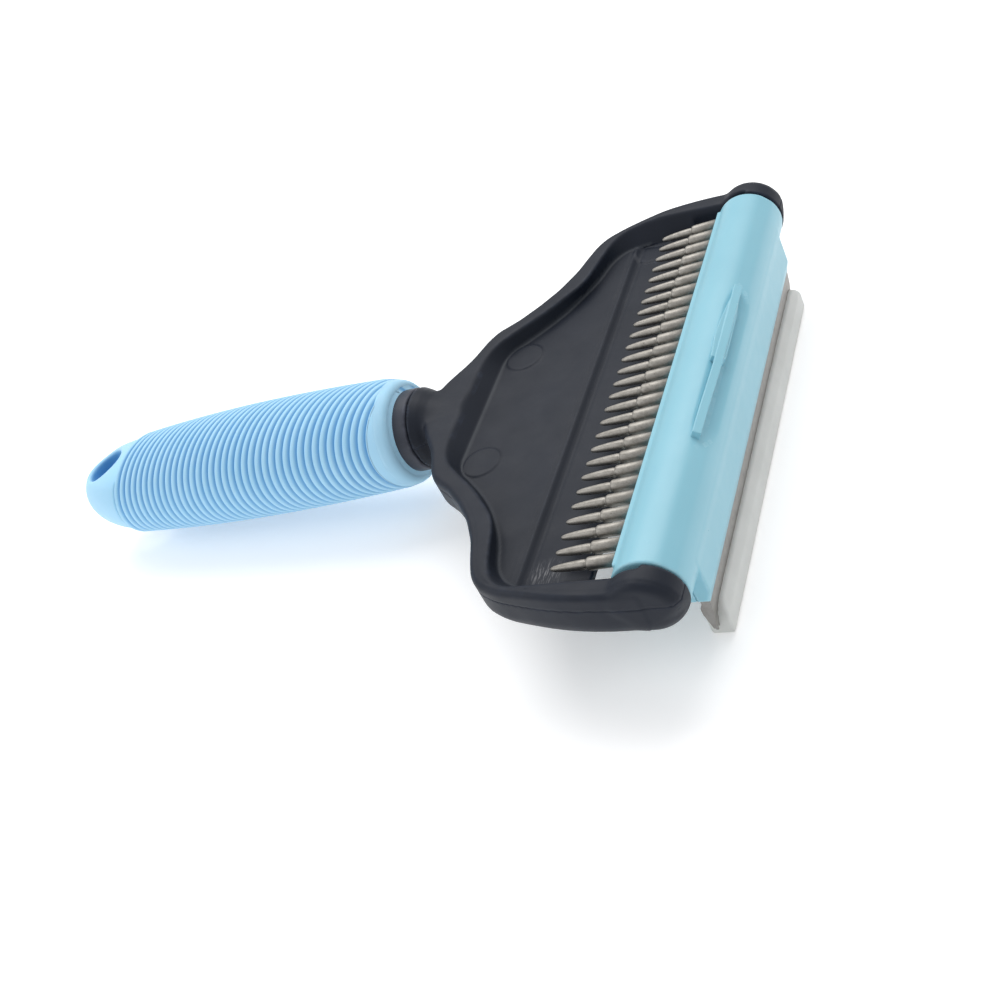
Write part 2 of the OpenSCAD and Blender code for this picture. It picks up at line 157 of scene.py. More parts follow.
def net(field, low, high, size):
    """Points and four-sided faces of the surface where the field is zero."""
    axes = [np.arange(a, b + size, size) for a, b in zip(low, high)]
    x, y, z = axes[0][:, None, None], axes[1][None, :, None], axes[2][None, None, :]
    f = np.broadcast_to(field(x, y, z), [len(a) for a in axes]).astype(np.float32)
    shape = [len(a) - 1 for a in axes]
    total = np.zeros(shape + [3], np.float32)
    count = np.zeros(shape, np.float32)
    crossings = []
    for axis in range(3):
        first = f[tuple(slice(None, -1) if i == axis else slice(None) for i in range(3))]
        second = f[tuple(slice(1, None) if i == axis else slice(None) for i in range(3))]
        cross = (first < 0) != (second < 0)
        share = np.where(cross, first / np.where(cross, first - second, 1), 0)
        crossings.append((cross, first < 0))
        u, v = (axis + 1) % 3, (axis + 2) % 3
        for du in (0, 1):
            for dv in (0, 1):
                cut = [slice(None)] * 3
                cut[u] = slice(du, du + shape[u])
                cut[v] = slice(dv, dv + shape[v])
                on = cross[tuple(cut)]
                count += on
                total[..., axis] += np.where(on, share[tuple(cut)], 0)
                total[..., u] += on * du
                total[..., v] += on * dv
    cells = np.argwhere(count > 0)
    index = np.full(shape, -1)
    index[tuple(cells.T)] = np.arange(len(cells))
    at = tuple(cells.T)
    points = (cells + total[at] / count[at][:, None]) * size + [a[0] for a in axes]
    faces = []
    for axis in range(3):
        cross, inside = crossings[axis]
        u, v = (axis + 1) % 3, (axis + 2) % 3
        edges = np.argwhere(cross)
        edges = edges[(edges[:, u] > 0) & (edges[:, u] < shape[u])
                      & (edges[:, v] > 0) & (edges[:, v] < shape[v])]
        around = []
        for du, dv in ((1, 1), (0, 1), (0, 0), (1, 0)):
            c = edges.copy()
            c[:, u] -= du
            c[:, v] -= dv
            around.append(index[tuple(c.T)])
        quads = np.stack(around, 1)
        out = inside[tuple(edges.T)]
        faces.append(np.where(out[:, None], quads, quads[:, ::-1]))
    return points, np.vstack(faces)


def settle(field, points):
    """Moves points onto the surface where the field is zero, in three short moves."""
    p = points.astype(float)
    h, furthest = 0.02, 0.15
    for _ in range(3):
        x, y, z = p.T
        here = field(x, y, z)
        slope = np.stack([field(x + h, y, z) - field(x - h, y, z),
                          field(x, y + h, z) - field(x, y - h, z),
                          field(x, y, z + h) - field(x, y, z - h)], 1) / (2 * h)
        move = slope * (here / np.maximum((slope ** 2).sum(1), 0.2))[:, None]
        length = np.linalg.norm(move, axis=1, keepdims=True)
        p -= move * np.minimum(1, furthest / np.maximum(length, 1e-9))
    return p


def carve(name, field, low, high, size, body, slot, material, replaces=()):
    """A piece whose surface is where the field is zero, and its points in millimetres."""
    points, faces = net(field, low, high, size)
    points = settle(field, points)
    return new_object(name, points, faces, body, slot, material, replaces), points


def paint(piece, name, values):
    """Stores one number per point for the material to read."""
    mark = piece.data.attributes.new(name, "FLOAT", "POINT")
    mark.data.foreach_set("value", np.asarray(values, np.float32))


def lathe(profile, around, place):
    """Points and faces of a turned shape. profile is (radius, distance) pairs along the axis, and
    place turns (distance, side, height) into the head's own axes. Ends on the axis are closed."""
    points, faces, rows = [], [], []
    for r, s in profile:
        if r < 1e-6:
            rows.append([len(points)])
            points.append((s, 0, 0))
        else:
            a = np.arange(around) * 2 * np.pi / around
            rows.append(list(range(len(points), len(points) + around)))
            points += list(zip(np.full(around, s), r * np.cos(a), r * np.sin(a)))
    for a, b in zip(rows, rows[1:]):
        for i in range(around):
            j = (i + 1) % around
            if len(a) == 1:
                faces.append((a[0], b[i], b[j]))
            elif len(b) == 1:
                faces.append((a[i], b[0], a[j]))
            else:
                faces.append((a[i], b[i], b[j], a[j]))
    return place(np.array(points, float)), faces


def join(parts):
    """One set of points and faces out of several."""
    points, faces, start = [], [], 0
    for p, f in parts:
        points.append(p)
        faces += [tuple(i + start for i in face) for face in f]
        start += len(p)
    return np.vstack(points), faces


def on_handle(p):
    """From (distance behind the ring, side, height) on the handle to the head's axes."""
    c, s = np.cos(TILT), np.sin(TILT)
    x = NECK_X - p[:, 0] * c - p[:, 2] * s
    z = NECK_Z - p[:, 0] * s + p[:, 2] * c
    return np.stack([x, p[:, 1], z], 1)


# ---------------------------------------------------------------- materials
class Look:
    """A node material with a few shorthands."""

    def __init__(self, name, **values):
        self.material = bpy.data.materials.new(name)
        self.material.use_nodes = True
        self.tree = self.material.node_tree
        self.shader = self.tree.nodes["Principled BSDF"]
        for key, value in values.items():
            socket = self.shader.inputs[key.replace("_", " ")]
            socket.default_value = (*value, 1) if socket.type == "RGBA" else value

    def node(self, kind, **settings):
        n = self.tree.nodes.new(kind)
        for key, value in settings.items():
            setattr(n, key, value)
        return n

    def link(self, a, b):
        self.tree.links.new(a, b)

    def place(self, scale=(1, 1, 1), turn=(0, 0, 0)):
        """Object coordinates in millimetres, then scaled and turned."""
        where = self.node("ShaderNodeTexCoord")
        move = self.node("ShaderNodeMapping", vector_type="POINT")
        move.inputs["Scale"].default_value = [1000 * s for s in scale]
        move.inputs["Rotation"].default_value = turn
        self.link(where.outputs["Object"], move.inputs["Vector"])
        return move.outputs["Vector"]

    def noise(self, size, detail=2.0, rough=0.5, vector=None):
        """Noise whose lumps are about size millimetres."""
        n = self.node("ShaderNodeTexNoise")
        n.inputs["Scale"].default_value = 1 / size
        n.inputs["Detail"].default_value = detail
        n.inputs["Roughness"].default_value = rough
        self.link(vector or self.place(), n.inputs["Vector"])
        return n.outputs["Fac"]

    def ramp(self, value, low, high, to_low, to_high):
        """value taken from low..high to to_low..to_high, and held at both ends."""
        n = self.node("ShaderNodeMapRange", clamp=True)
        for key, v in (("From Min", low), ("From Max", high), ("To Min", to_low), ("To Max", to_high)):
            n.inputs[key].default_value = v
        self.link(value, n.inputs["Value"])
        return n.outputs["Result"]

    def math(self, kind, a, b):
        n = self.node("ShaderNodeMath", operation=kind)
        for socket, v in zip(n.inputs, (a, b)):
            if isinstance(v, (int, float)):
                socket.default_value = v
            else:
                self.link(v, socket)
        return n.outputs[0]

    def mix(self, factor, a, b):
        """Colour a where factor is 0, and b where it is 1."""
        n = self.node("ShaderNodeMix", data_type="RGBA")
        for socket, v in ((n.inputs[0], factor), (n.inputs[6], a), (n.inputs[7], b)):
            if isinstance(v, tuple):
                socket.default_value = (*v, 1)
            elif isinstance(v, (int, float)):
                socket.default_value = v
            else:
                self.link(v, socket)
        return n.outputs[2]

    def attribute(self, name):
        """A number that paint() stored on the piece."""
        return self.node("ShaderNodeAttribute", attribute_name=name).outputs["Fac"]

    def colour(self, output):
        self.link(output, self.shader.inputs["Base Color"])

    def rough(self, output):
        self.link(output, self.shader.inputs["Roughness"])

    def bump(self, height, depth, previous=None):
        """Height 0 to 1 stands for depth millimetres."""
        n = self.node("ShaderNodeBump")
        n.inputs["Strength"].default_value = 1
        n.inputs["Distance"].default_value = depth / 1000
        self.link(height, n.inputs["Height"])
        if previous:
            self.link(previous, n.inputs["Normal"])
        self.link(n.outputs["Normal"], self.shader.inputs["Normal"])
        return n.outputs["Normal"]


def edges_of(look):
    """1 on worn outer edges, 0 elsewhere."""
    flat, spread = 0.5, 0.04
    g = look.node("ShaderNodeNewGeometry")
    return look.ramp(g.outputs["Pointiness"], flat + spread * 0.3, flat + spread, 0, 1)


def scratches(look, size, direction, amount):
    """Fine parallel marks: noise drawn out along one direction."""
    vector = look.place(scale=(0.12, 1, 1), turn=direction)
    lines = look.noise(size, 3, 0.7, vector)
    patches = look.noise(9, 2, 0.6)
    marks = look.ramp(lines, 0.66, 0.72, 0, amount)
    return look.math("MULTIPLY", marks, look.ramp(patches, 0.5, 0.66, 0, 1))


def black_plastic(name, base, rough):
    """Satin black moulding, scuffed, worn on its edges, rubbed where it is painted so, and with a painted
    highlight where that is painted.
    """
    look = Look(name, Roughness=rough, IOR=1.5, Specular_IOR_Level=0.22)
    tone = look.ramp(look.noise(14, 3), 0.3, 0.7, 0, 1)
    worn = look.math("MULTIPLY", edges_of(look), look.ramp(look.noise(2.2, 3), 0.42, 0.62, 0.1, 1))
    colour = look.mix(tone, tuple(c * 0.9 for c in base), tuple(c * 1.1 for c in base))
    colour = look.mix(look.math("MULTIPLY", worn, 0.3), colour, tuple(c * 3 for c in base))
    # painted highlight: a thin light line where the recess wall meets the floor
    colour = look.mix(look.math("MULTIPLY", look.attribute("foot"), 0.35), colour, (0.1, 0.11, 0.12))
    scuff = look.math("MAXIMUM", scratches(look, 0.16, (0.2, 0.1, 0.6), 0.25),
                      scratches(look, 0.12, (0.1, 0.3, -0.9), 0.2))
    colour = look.mix(scuff, colour, (0.07, 0.07, 0.078))
    lines = look.noise(0.3, 3, 0.7, look.place(scale=(1, 0.12, 1), turn=(0, 0, -0.6)))
    rub = look.math("MULTIPLY", look.attribute("rubbed"), look.ramp(lines, 0.5, 0.64, 0, 0.8))
    look.colour(look.mix(rub, colour, (0.19, 0.19, 0.2)))
    look.rough(look.ramp(look.noise(6, 4, 0.6), 0.25, 0.75, rough - 0.05, rough + 0.06))
    n = look.bump(look.noise(0.22, 2, 0.6), 0.014)
    look.bump(look.noise(7, 1), 0.03, n)
    return look.material


def grip_rubber():
    """Pale blue rubber with painted shade in its ring hollows and hang hole, and a little dusty."""
    look = Look("grip_rubber", Roughness=0.6, IOR=1.45, Specular_IOR_Level=0.35, Sheen_Weight=0.12,
                Sheen_Roughness=0.5, Subsurface_Weight=0.12, Subsurface_Scale=0.0012,
                Subsurface_Radius=(0.5, 0.8, 1.0))
    groove = look.attribute("groove")
    tone = look.ramp(look.noise(11, 3), 0.3, 0.7, 0, 1)
    ridge = look.mix(tone, (0.355, 0.64, 0.85), (0.39, 0.67, 0.875))
    # painted shade: deeper blue in the ring hollows and inside the hang hole
    colour = look.mix(groove, ridge, (0.1, 0.35, 0.66))
    dust = look.math("MULTIPLY", look.ramp(look.noise(0.5, 2, 0.7), 0.62, 0.75, 0, 1),
                     look.ramp(look.noise(13, 2), 0.45, 0.65, 0, 0.25))
    look.colour(look.mix(dust, colour, (0.62, 0.72, 0.8)))
    look.rough(look.ramp(look.noise(1.4, 4, 0.65), 0.25, 0.75, 0.52, 0.7))
    n = look.bump(look.noise(0.16, 2, 0.6), 0.014)
    look.bump(look.noise(2.6, 2), 0.03, n)
    return look.material


def blue_plastic(name, light, deep):
    """Glossier blue moulding with fine marks."""
    look = Look(name, Roughness=0.3, IOR=1.5, Specular_IOR_Level=0.45, Subsurface_Weight=0.08,
                Subsurface_Scale=0.001, Subsurface_Radius=(0.4, 0.8, 1.0))
    tone = look.ramp(look.noise(18, 2), 0.3, 0.7, 0, 1)
    colour = look.mix(tone, light, deep)
    worn = look.math("MULTIPLY", edges_of(look), look.ramp(look.noise(1.6, 3), 0.4, 0.6, 0.3, 1))
    colour = look.mix(look.math("MULTIPLY", worn, 0.15), colour, (0.6, 0.82, 0.9))
    marks = scratches(look, 0.14, (0, 0, 1.2), 0.3)
    look.colour(look.mix(marks, colour, (0.55, 0.8, 0.88)))
    look.rough(look.ramp(look.noise(3, 5, 0.65), 0.25, 0.75, 0.27, 0.4))
    n = look.bump(look.noise(0.35, 3, 0.6), 0.006)
    look.bump(look.noise(9, 2), 0.05, n)
    return look.material


def metal(name, base, dark, rough, brushed, pits=0.5):
    """Metal with streaks drawn out along the small axis of brushed, stains and pits."""
    look = Look(name, Metallic=1.0, Anisotropic=0.25)
    streaks = look.noise(0.12, 3, 0.65, look.place(scale=brushed))
    stains = look.noise(1.6, 4, 0.6)
    spots = look.ramp(look.noise(0.45, 2, 0.7), 0.64, 0.74, 0, pits)
    colour = look.mix(look.ramp(streaks, 0.3, 0.7, 0, 1), dark, base)
    colour = look.mix(look.ramp(stains, 0.45, 0.75, 0, 0.45), colour, tuple(c * 0.72 for c in dark))
    look.colour(look.mix(spots, colour, (0.12, 0.11, 0.1)))
    look.rough(look.ramp(look.math("ADD", streaks, look.math("MULTIPLY", stains, 0.5)), 0.5, 1.1,
                         rough - 0.06, rough + 0.12))
    look.bump(streaks, 0.008)
    return look.material


def milky_plastic():
    """Cloudy clear plastic. The little it glows stands for light that it scatters inside."""
    look = Look("cover_milky", IOR=1.49, Transmission_Weight=0.35, Specular_IOR_Level=0.4,
                Emission_Color=(0.9, 0.92, 0.88), Emission_Strength=0.05, Subsurface_Weight=0.25,
                Subsurface_Scale=0.003, Subsurface_Radius=(1.0, 1.0, 0.95))
    haze = look.ramp(look.noise(9, 3), 0.3, 0.7, 0, 1)
    look.colour(look.mix(haze, (0.68, 0.69, 0.67), (0.75, 0.76, 0.74)))
    look.rough(look.ramp(look.noise(2.5, 4, 0.6), 0.25, 0.75, 0.4, 0.55))
    n = look.bump(look.noise(0.3, 2, 0.6), 0.008)
    look.bump(look.noise(8, 2), 0.06, n)
    return look.material


shell = black_plastic("shell_black", (0.0105, 0.014, 0.023), 0.5)
core = black_plastic("core_black", (0.042, 0.046, 0.06), 0.42)
rubber = grip_rubber()
blue = blue_plastic("barrel_blue", (0.235, 0.50, 0.60), (0.25, 0.52, 0.62))
nickel = metal("pin_nickel", (0.44, 0.42, 0.385), (0.26, 0.245, 0.22), 0.5, (0.25, 1, 1), pits=0.7)
blade_steel = metal("blade_steel", (0.37, 0.355, 0.34), (0.27, 0.255, 0.24), 0.42, (1, 0.05, 1))
screw_steel = metal("screw_steel", (0.5, 0.5, 0.5), (0.36, 0.36, 0.36), 0.32, (1, 1, 0.3))
rod_steel = metal("rod_steel", (0.62, 0.62, 0.62), (0.48, 0.48, 0.48), 0.28, (1, 0.1, 1))
milky = milky_plastic()


# ---------------------------------------------------------------- the tray-shaped head
# Closed outlines seen from above: the head's side, the recess at its lip, and the recess at its floor
OUTLINE = both_sides(np.vstack([
    spline([(-70, 3), (-67.6, 3.4), (-64.3, 5.4), (-62.8, 8.3), (-61.2, 11), (-59.6, 13.6),
            (-58.3, 16.2), (-57.3, 19), (-56.1, 22), (-54.4, 24.6), (-52.2, 26.4), (-50.1, 28.1),
            (-48.2, 30.1), (-46.2, 32.3), (-44.4, 34.7), (-42.5, 37.4), (-40.9, 40.5), (-39.3, 44),
            (-37.9, 48.5), (-36.3, 52.8), (-34.2, 55.7), (-31.7, 57.4), (-29.3, 58.5), (-26.8, 59.3),
            (-24.2, 60.0), (-20.6, 60.9), (-16.5, 61.7), (-12, 62.25), (-8, 62.5)]), [[0, 62.5]]]))
LIP = both_sides(np.vstack([[[-54.8, 0]], spline([
    (-54.8, 10.5), (-54.2, 15.4), (-52.4, 19.6), (-47.8, 24.4), (-43.1, 29), (-39.1, 33.9), (-36.8, 36.9),
    (-35.2, 40.6), (-34, 46), (-32.7, 51.0), (-31.2, 54.0), (-28.4, 56.2), (-24, 56.9), (-18, 57.1)]),
    [[0, 57.1]]]))
FLOOR = both_sides(np.vstack([[[-51.8, 0]], spline([
    (-51.8, 13.5), (-51.7, 16.8), (-50.2, 20.4), (-47.3, 23.4), (-43.3, 27.7), (-39.5, 32.7), (-36.2, 39),
    (-34.5, 43), (-33.1, 48), (-31.4, 51.2), (-28.8, 53.4), (-24, 54.8), (-18, 55.4)]), [[0, 55.6]]]))
CASE_SCREWS = [(-46.7, 17.3), (-46.7, -17.3), (-35.6, 39.5), (-35.6, -39.5)]
NECK_SCREWS = [(-48, 6), (-48, -6)]
SCREW_HEAD_R = 2.2
EJECTOR_MARKS = [(-46.7, 17.3), (-46.7, -17.3), (-23.3, 52.4)]


def floor_height(x, y):
    """The tray's floor, its ramp with a scored line along each edge, and the moulding's pin marks."""
    h = 0.5 - step(x, -28.0, -26.1)
    for line_x, depth in ((-28.3, 0.22), (-25.9, 0.16)):
        h = h - depth * np.clip(1 - np.abs(x - line_x) / 0.4, 0, 1)
    for px, py in EJECTOR_MARKS:
        h = h + 0.3 * (1 - step(np.hypot(x - px, y - py), 4.2, 4.55))
    return h


def on_axis(x, z):
    """Distance behind the ring and height over the handle's axis."""
    c, s = np.cos(TILT), np.sin(TILT)
    return -(x - NECK_X) * c - (z - NECK_Z) * s, -(x - NECK_X) * s + (z - NECK_Z) * c


def head(x, y, z):
    """The whole head as one body: slab, ears, neck, dished recess and the bay for the barrel."""
    side = polygon(x, y, OUTLINE)
    top = 4.1 + 1.1 * step(x, -34, -18)
    d = slab(side, z, BACK_Z, top, 5.3, 1.3)
    low = step(-z, -2.5, 2.5)
    ear = corner(np.hypot(x, z) - EAR_R, np.abs(y) - ARM_OUT, 2.0 + 3.3 * low)
    d = smin(d, smax(ear, ARM_IN - np.abs(y), 0.3), 0.8)
    # Crease where the flat rim turns over to the side, running on round the ear
    rim = np.where(x > -6, np.abs(np.abs(y) - (ARM_OUT - RIM)), np.abs(side + RIM))
    fade = step(x, -52, -40) * step(z, 0.5, 3)
    d = d + 0.14 * fade * np.clip(1 - rim / 0.45, 0, 1)
    waist = np.interp(x, (-67.2, -65.6, -63.6, -61, -57), (9.3, 8.6, 7.3, 6.2, 5.8))
    neck = np.hypot(y, z - NECK_Z) - waist
    neck = smax(smax(neck, on_axis(x, z)[0] + 0.06, 0.3), x + 55, 2.0)
    d = smin(d, neck, 1.6)
    share = np.clip((z - 0.5) / 3.1, -0.4, 1.6)
    wall = polygon(x, y, FLOOR) * (1 - share) + polygon(x, y, LIP) * share
    recess = smax(wall, floor_height(x, y) - z, 0.5)
    d = smax(d, -recess, 0.7)
    bay = smax(BAY_X - x, np.abs(y) - ARM_IN, 0.6)
    return smax(d, -bay, 0.35)


def bearings(x, y, z):
    """Holes in the ears for the rod, its bushes and the index wheel with its leaf."""
    around, across = np.hypot(x, z), np.abs(y - BEARING_Y) - BEARING_T
    bore = smax(around - 3.45, np.abs(y) - 60.9, 0.2)
    pocket = smax(around - 5.2, across, 0.2)
    slot = np.maximum(np.maximum(np.abs(x + 5) - 5, np.abs(z) - 4), across)
    return np.minimum(np.minimum(bore, pocket), slot)


def spigot_bore(x, y, z):
    return smax(np.hypot(y, z - NECK_Z) - SPIGOT_R, x + SPIGOT_X, 0.2)


def web(x, y, z):
    """The floor over the recess that the blade folds into, which belongs to the upper moulding."""
    return np.maximum(np.maximum(np.abs(x + 22) - 9.3, np.abs(y) - 53.7), -z - 6)


def lower_share(x, y, z):
    """Above zero in the rear moulding, whose edge laps round the outside of the tray."""
    round_ear = np.maximum(np.abs(y) - ARM_OUT, np.hypot(x, z) - EAR_R)
    ring = np.where(x > -5, round_ear, polygon(x, y, OUTLINE)) + SKIRT
    skirt = np.minimum(np.minimum(SEAM_Z - z, ring), x + 54)
    return np.minimum(np.maximum(-z, skirt), np.maximum(web(x, y, z), -2.0 - z))


def tray_upper(x, y, z):
    """The upper moulding, with a thin tongue behind the seam that closes it on the neck."""
    whole, share = head(x, y, z), lower_share(x, y, z)
    tongue = smax(whole + 0.12 * step(x, -61, -57) - 0.015, share - 0.5, 0.02)
    d = np.minimum(smax(whole, share + 0.03, 0.08), tongue)
    d = smax(d, -bearings(x, y, z), 0.2)
    return smax(d, -spigot_bore(x, y, z), 0.3)


def tray_lower(x, y, z):
    """The rear moulding, with the recess for the folded blade and the screws' counterbores."""
    d = smax(head(x, y, z), 0.03 - lower_share(x, y, z), 0.08)
    under = np.maximum(np.maximum(np.abs(x + 22) - 9, np.abs(y) - 53.5), z + 1.0)
    d = smax(d, -under, 0.4)
    d = smax(d, -bearings(x, y, z), 0.2)
    for screws, depth in ((CASE_SCREWS, 1.6), (NECK_SCREWS, 1.0)):
        for px, py in screws:
            d = smax(d, -smax(np.hypot(x - px, y - py) - SCREW_HEAD_R, z - BACK_Z - depth, 0.15), 0.25)
    return smax(d, -spigot_bore(x, y, z), 0.3)


SIZE = 0.42
tray, tray_points = carve("tray_upper", tray_upper, (-68, -64, -2.6), (8.6, 64, 8.8), SIZE, "frame",
                          "shell_black", shell, ["tray_shell"])
tx, ty, tz = tray_points.T
# A rubbed patch in the near corner of the floor, and a painted highlight line where the recess wall meets
# the floor
rubbed = np.exp(-(((tx + 22.3) / 3.4) ** 2 + ((ty + 50.2) / 3.2) ** 2) ** 2)
paint(tray, "rubbed", rubbed * (tz < 1.2))
foot = np.abs(polygon(tx, ty, FLOOR) + 0.1)
paint(tray, "foot", np.clip(1 - foot / 0.4, 0, 1) * (tz < 1.4) * (tz > 0.2) * (tx < -24))
carve("tray_lower", tray_lower, (-68, -64, -12.4), (8.6, 64, 2.4), SIZE, "frame", "shell_black", shell,
      ["rear_shell"])


# ---------------------------------------------------------------- the handle
def envelope(s):
    """Radius over the crowns of the rings."""
    front = np.where(s < BELLY, (BELLY - s) / (BELLY - RING_FROM), 0)
    rear = np.where(s > BELLY, (s - BELLY) / (RING_TO - BELLY), 0)
    return GRIP_R - 1.35 * front ** 2 - 1.4 * rear ** 2


def slant(s, y, h):
    """How far a ring that crosses the axis at s leans towards the head at (y, h)."""
    return (0.41 - 0.0014 * s) * y + (0.0036 * s - 0.08) * h


def leaning(p):
    """Places the ringed skin, its rings aslant, and tucks its front end under the plain shoulder."""
    s, y, h = p.T
    s = np.maximum(s - slant(s, y, h), 3.2)
    limit = np.interp(s, (3.4, 4.0, 4.25, 4.8, 5.6, 6.6, 7.6, 8.6, 10),
                      (8.8, 10.4, 11.1, 11.6, 11.97, 12.32, 12.6, 13.0, 14.5))
    r = np.hypot(y, h)
    k = smin(r, limit + 0.06, 0.5) / r
    return on_handle(np.stack([s, y * k, h * k], 1))


def ring_rows():
    """Radius, distance and depth into each hollow, for rounded hollows between crowned rings; the depth
    also sets the painted shade there.
    """
    rows = [(float(envelope(s)), s, 0.0) for s in np.arange(-2.0, RING_FROM - 0.7, 0.3)]
    pitch = (RING_TO - RING_FROM) / RINGS
    for i in range(-6, RING_STEPS * RINGS + 1):
        off = abs(i / RING_STEPS - round(i / RING_STEPS)) * pitch
        depth = 0.5 + 0.5 * np.cos(np.pi * min(off / GROOVE, 1))
        s = RING_FROM + pitch * i / RING_STEPS
        rows.append((float(envelope(s)) - GROOVE * depth - 0.05 * (off < 1.0), s, depth))
    rows += [(11.7, RING_TO + 0.2, 1.0), (10.6, RING_TO + 0.8, 1.0)]
    return rows


def hang_part(x, y, z):
    """The smooth tail with the hang hole, in the handle's own axes."""
    s = np.maximum(x - RING_TO, 0) / (HANDLE_L - RING_TO)
    nose = (np.hypot(s, np.hypot(y / 12.3, z / 11.75)) - 1) * 11.75
    nose = smax(nose, np.abs(z) - 9.6, 3.0)
    body = smax(nose, RING_TO + 0.05 - x - slant(RING_TO, y, z), 0.5)
    return smax(body, HANG_R - np.hypot(x - HANG_S, y), 1.9)


def build_grip():
    """The plain shoulder, the leaning rings and the tail, as one piece."""
    around = 144
    shoulder = [(9.5, 4.6), (9.55, 4.15), (9.9, 3.95), (10.7, 4.0), (11.35, 4.25), (11.8, 4.8),
                (12.05, 5.4), (12.2, 6.0), (12.3, 6.5), (12.25, 6.8), (11.9, 7.2), (10.9, 7.6)]
    rows = ring_rows()
    front = lathe(shoulder, around, on_handle)
    rings = lathe([row[:2] for row in rows], around, leaning)
    tail, tail_faces = net(hang_part, (79.4, -12.6, -12.6), (107.6, 12.6, 12.6), 0.4)
    tail = settle(hang_part, tail)
    # painted shade inside the hang hole and, from the rings' depth, in the hollows between rings
    inside = np.clip((HANG_R + 0.5 - np.hypot(tail[:, 0] - HANG_S, tail[:, 1])) / 0.4, 0, 1)
    ring_groove_shade = np.repeat([row[2] for row in rows], around)
    groove = np.concatenate([np.zeros(len(front[0])), ring_groove_shade, 0.95 * inside])
    points, faces = join([front, rings, (on_handle(tail), [tuple(f) for f in tail_faces])])
    grip = new_object("grip", points, faces, "frame", "grip_blue", rubber, ["grip_sleeve"])
    paint(grip, "groove", groove)


build_grip()

collar = [(0, 0.35), (6.0, 0.35), (8.9, 0.35), (9.2, 0.45), (9.36, 0.7), (9.4, 1.1), (9.4, 3.4),
          (9.42, 3.9), (9.4, 4.4), (8.6, 4.9), (7.4, 5.2), (7.4, 85.6), (7.0, 86), (0, 86)]
spigot = [(0, -4), (4.6, -4), (4.9, -3.6), (4.9, 0.8), (0, 0.8)]
new_object("handle_collar", *join([lathe(collar, 96, on_handle), lathe(spigot, 64, on_handle)]),
           "frame", "core_black", core, ["handle_core"])


# ---------------------------------------------------------------- the barrel
WEDGE = np.array([(0, 0), (7.2, 0.0), (7.3, -8.4), (6.4, -11), (2.6, -11), (-3, -6)], float)
RIB_ANGLE = np.radians(58)
RIB_Y, RIB_HALF = -1.4, 22.9          # middle of the rib along the barrel, and half its length
BARREL_SCREWS = (-44, -22, 0, 22, 44)


def rib(out, y, across):
    """The rib that a thumb pushes, with a leaf in front of and behind its far half."""
    middle = 0.25 + 0.45 * step(y, -24, 0)
    crest = 8.65 + 0.2 * np.clip(1 - ((y - RIB_Y) / 23) ** 2, 0, 1)
    bar = smax(np.abs(across - middle) - 0.88, out - crest, 0.15)
    bar = smax(bar, np.abs(y - RIB_Y) - RIB_HALF, 0.15)
    behind = np.interp(y, (-2.6, -2, 4.5, 9, 13.8, 18.4), (0.6, 0.94, 1.34, 1.1, 0.62, 0.1))
    ahead = np.interp(y, (-1.6, -1.2, 4.7, 11.6, 14.8, 17), (1.7, 2.0, 2.0, 1.9, 1.75, 1.5))
    leaf = smax(smax(-across - behind, across - ahead, 0.08), out - crest + 0.3, 0.1)
    leaf = smax(leaf, np.abs(y - 8) - 10.2, 0.1)
    return smax(np.minimum(bar, leaf), 5.5 - out, 0.1)


def on_barrel(p):
    """From (distance from the axis, along, across) at the rib to the head's axes."""
    c, s = np.cos(RIB_ANGLE), np.sin(RIB_ANGLE)
    return np.stack([p[:, 0] * c + p[:, 2] * s, p[:, 1], p[:, 0] * s - p[:, 2] * c], 1)


def scoop(x, y, z):
    """A shallow hollow in the barrel along the front of the rib."""
    c, s, deepest = np.cos(RIB_ANGLE), np.sin(RIB_ANGLE), 0.85
    across = x * s - z * c
    out = x * c + z * s
    reach = deepest * step(26 - np.abs(y - RIB_Y), 0, 9)
    return 6.75 - reach - out + 0.5 * np.clip(1 - reach / deepest, 0, 1) + 0.14 * (across - 2.6) ** 2


def barrel_solid(x, y, z):
    """The turned barrel with the blade's wedge and the eave that the pins stand out of."""
    d = slab(np.hypot(x, z) - BARREL_R, np.abs(y), -1, BARREL_END, 0.1, 0.5)
    d = smax(d, -scoop(x, y, z), 0.9)
    w = smax(polygon(x, z, WEDGE), np.abs(y) - 50.5, 0.4)
    d = smin(d, w, 0.4)
    c, s = np.cos(COMB_TILT), np.sin(COMB_TILT)
    u = (x - COMB[0]) * c + (z - COMB[2]) * s
    v = -(x - COMB[0]) * s + (z - COMB[2]) * c
    eave = np.maximum(np.abs(u - 2.475) - 1.525, np.abs(v + 0.25) - 1.75)
    return smin(d, corner(eave, np.abs(y) - 54.8, 0.3), 0.15)


def back_share(x, y, z):
    """Below zero in the rear half, which clamps the pins and the blade to the front half."""
    return np.minimum(np.maximum(x + 3.2, z - 2), np.maximum(x - 3.9, z + 3.4))


def barrel_front(x, y, z):
    return smax(barrel_solid(x, y, z), 0.05 - back_share(x, y, z), 0.2)


def barrel_back(x, y, z):
    d = smax(barrel_solid(x, y, z), back_share(x, y, z) + 0.05, 0.2)
    for sy in BARREL_SCREWS:
        d = smax(d, -smax(np.hypot(y - sy, z + 6.2) - SCREW_HEAD_R, x + 1.4, 0.15), 0.2)
    return d


SIZE = 0.36
carve("barrel_front_shell", barrel_front, (-8.4, -57.4, -12), (9.4, 57.4, 12), SIZE, "barrel",
      "barrel_blue", blue, ["barrel_front"])
carve("barrel_back_shell", barrel_back, (-8.4, -57.4, -12), (6, 57.4, 3), SIZE, "barrel",
      "barrel_blue", blue, ["barrel_back"])
SIZE = 0.12
rib_points, rib_faces = net(rib, (5.2, -24.6, -2.0), (9.3, 21.9, 2.6), SIZE)
new_object("thumb_rib", on_barrel(settle(rib, rib_points)), rib_faces, "barrel", "barrel_blue", blue)


